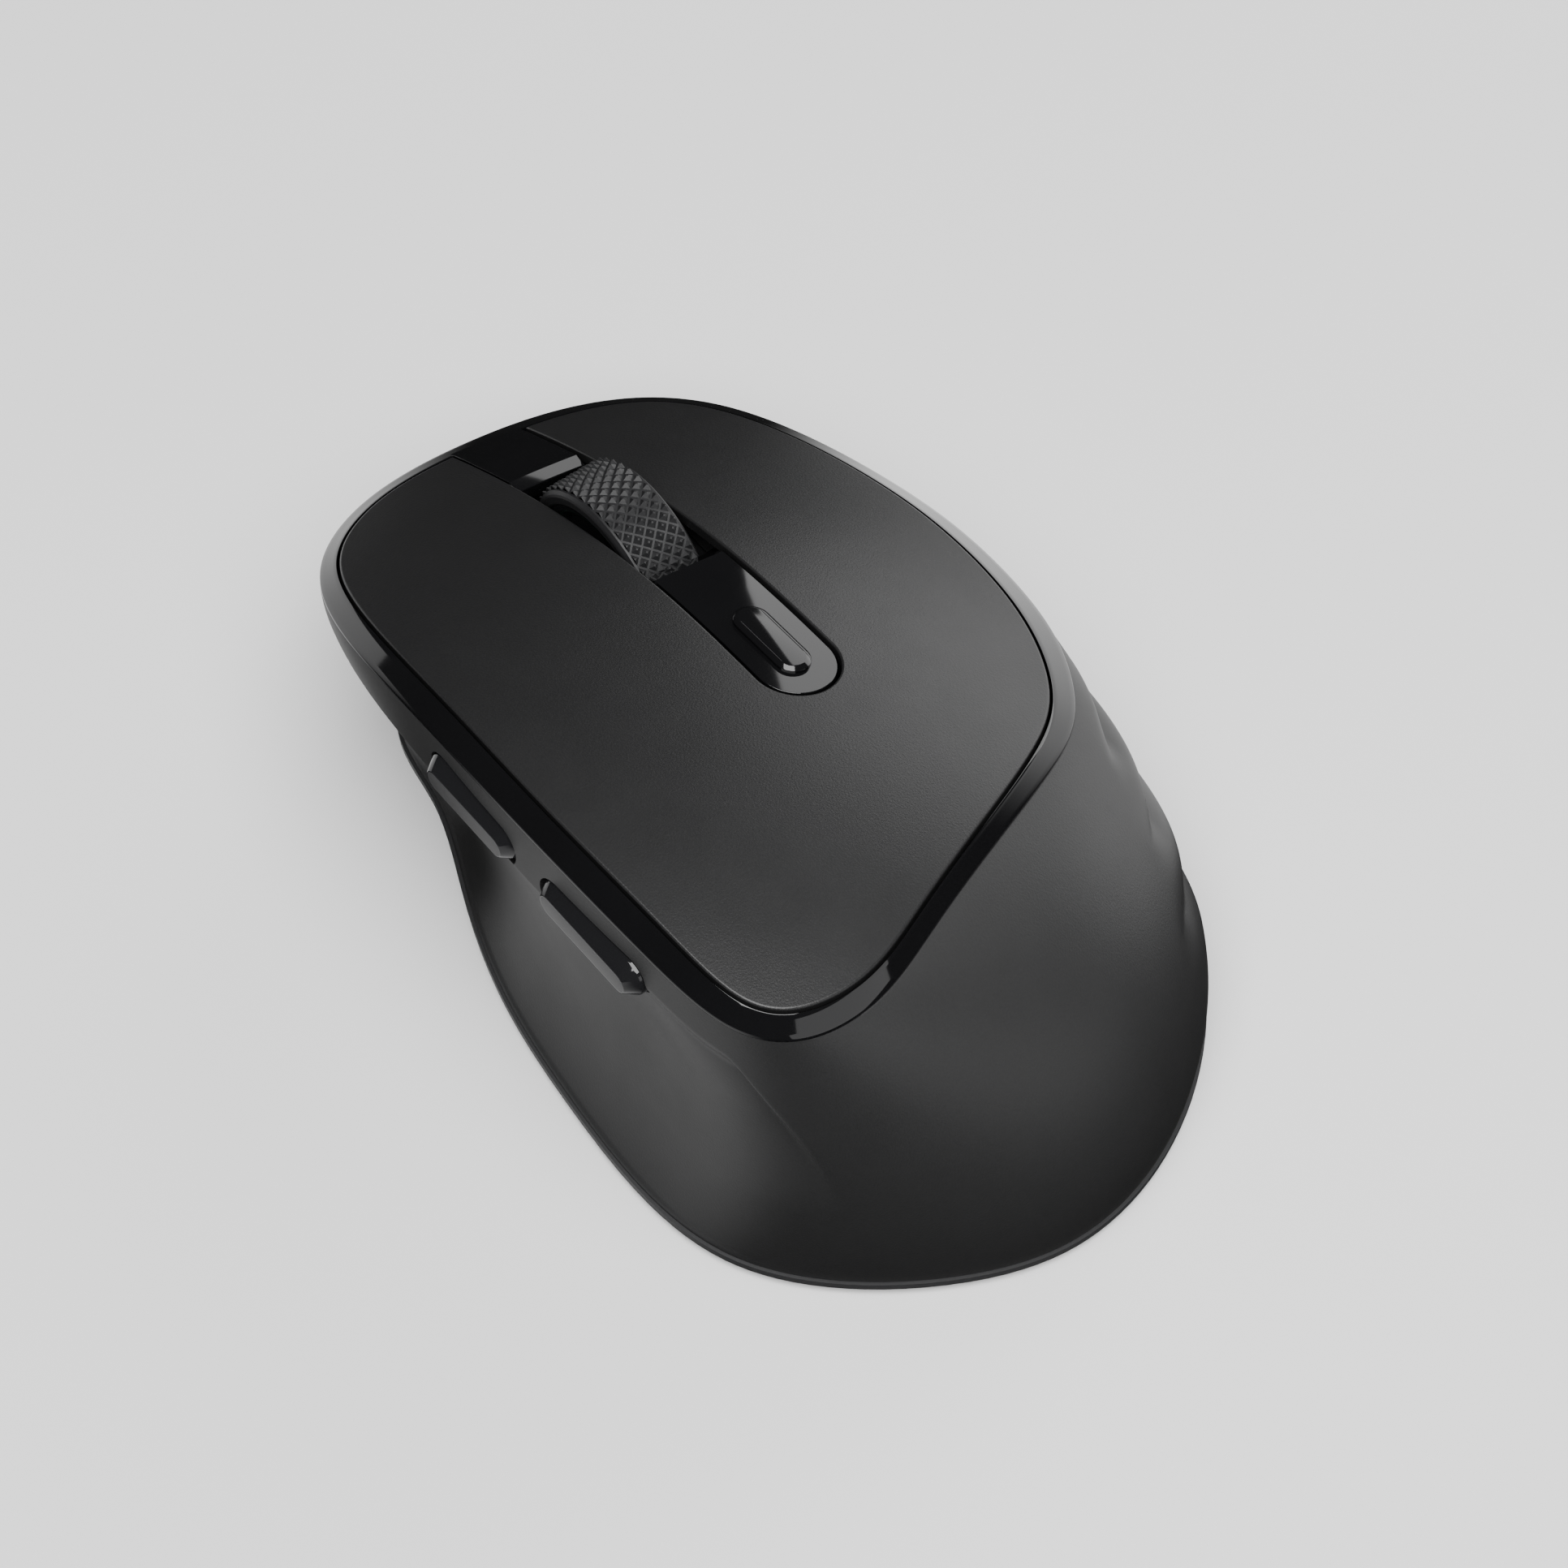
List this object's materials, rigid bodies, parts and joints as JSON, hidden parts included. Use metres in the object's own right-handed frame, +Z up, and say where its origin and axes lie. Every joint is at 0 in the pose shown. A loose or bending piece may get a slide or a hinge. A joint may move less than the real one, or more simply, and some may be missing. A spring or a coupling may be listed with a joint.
{
  "type": "computer mouse",
  "caption": "Ergonomic wireless mouse with a tilted hump, thumb scoop, finger grooves, wheel, two thumb buttons and a gloss rim.",
  "frame": {"origin": "on the desk plane, under the centreline of the scroll-wheel slot, halfway from heel to nose", "axes": "+X toward the ring-finger side, +Y toward the nose, +Z up from the desk"},
  "size_m": [0.0781, 0.1196, 0.0473],
  "materials": {
    "soft_black": "fine matte grain",
    "gloss_black": "gloss",
    "black_rubber": "satin",
    "inner_plastic": "matte",
    "white_plastic": "satin",
    "board_green": "satin",
    "chip_black": "matte",
    "steel": "bright",
    "clear_lens": "clear",
    "cell_label": "gloss",
    "skate": "satin",
    "label_grey": "satin",
    "wire": "satin"
  },
  "bodies": {
    "case": {"body_shell": "soft_black", "base_plate": "soft_black", "trim_frame": "gloss_black", "top_cover": "soft_black", "side_board": "board_green", "side_switches": "chip_black", "side_bracket": "inner_plastic", "upper_board": "board_green", "main_board": "board_green", "pivot_posts": "inner_plastic", "cradle_pin": "steel", "left_switch": "chip_black", "right_switch": "chip_black", "middle_switch": "chip_black", "dpi_switch": "chip_black", "case_screws": "steel", "upper_board_screws": "steel", "main_board_screws": "steel", "optical_sensor": "chip_black", "sensor_lens": "clear_lens", "controller_chip": "chip_black", "crystal": "steel", "capacitor": "steel", "ribbon_connectors": "inner_plastic", "board_ribbon": "white_plastic", "power_switch": "chip_black", "battery": "cell_label", "battery_spring": "steel", "battery_tab": "steel", "battery_wires": "wire", "usb_receiver": "inner_plastic", "receiver_plug": "steel", "front_foot": "skate", "rear_foot": "skate", "rating_label": "label_grey"},
    "left_key": {"left_button": "soft_black", "left_plunger": "white_plastic"},
    "right_key": {"right_button": "soft_black", "right_plunger": "white_plastic"},
    "dpi_key": {"dpi_button": "gloss_black", "dpi_plunger": "white_plastic"},
    "forward_key": {"forward_button": "soft_black", "forward_plunger": "white_plastic"},
    "back_key": {"back_button": "soft_black", "back_plunger": "white_plastic"},
    "cradle": {"wheel_cradle": "inner_plastic", "wheel_encoder": "chip_black", "middle_plunger": "white_plastic"},
    "wheel": {"scroll_tyre": "black_rubber", "wheel_hub": "gloss_black", "wheel_axle": "steel"},
    "power_knob": {"power_slider": "inner_plastic"},
    "door": {"battery_door": "soft_black"}
  },
  "joints": [
    {"name": "left_click", "type": "hinge", "parent": "case", "child": "left_key", "pos_m": [-0.018, -0.0117, 0.0457], "axis": [-1, 0, 0], "range_deg": [0, 0.8], "stiffness_Nm_per_rad": 1.5, "springref_deg": -0.57},
    {"name": "right_click", "type": "hinge", "parent": "case", "child": "right_key", "pos_m": [0.015, -0.0117, 0.0393], "axis": [-1, 0, 0], "range_deg": [0, 0.8], "stiffness_Nm_per_rad": 1.5, "springref_deg": -0.57},
    {"name": "wheel_press", "type": "hinge", "parent": "case", "child": "cradle", "pos_m": [0, 0.0455, 0.0214], "axis": [1, 0, 0], "range_deg": [0, 1.1], "stiffness_Nm_per_rad": 1.2, "springref_deg": -1.15},
    {"name": "wheel_spin", "type": "hinge", "parent": "cradle", "child": "wheel", "pos_m": [0, 0.0293, 0.0293], "axis": [1, 0, 0], "continuous": true},
    {"name": "dpi_press", "type": "slide", "parent": "case", "child": "dpi_key", "axis": [0, 0, -1], "range_m": [0, 0.0004], "stiffness_N_per_m": 1500, "springref_m": -0.0003},
    {"name": "forward_press", "type": "slide", "parent": "case", "child": "forward_key", "axis": [1, 0, 0], "range_m": [0, 0.0005], "stiffness_N_per_m": 1200, "springref_m": -0.0003},
    {"name": "back_press", "type": "slide", "parent": "case", "child": "back_key", "axis": [1, 0, 0], "range_m": [0, 0.0005], "stiffness_N_per_m": 1200, "springref_m": -0.0003},
    {"name": "power_slide", "type": "slide", "parent": "case", "child": "power_knob", "axis": [1, 0, 0], "range_m": [0, 0.003]},
    {"name": "door_hinge", "type": "hinge", "parent": "case", "child": "door", "pos_m": [0, -0.0149, 0.00065], "axis": [1, 0, 0], "range_deg": [0, 80]}
  ]
}
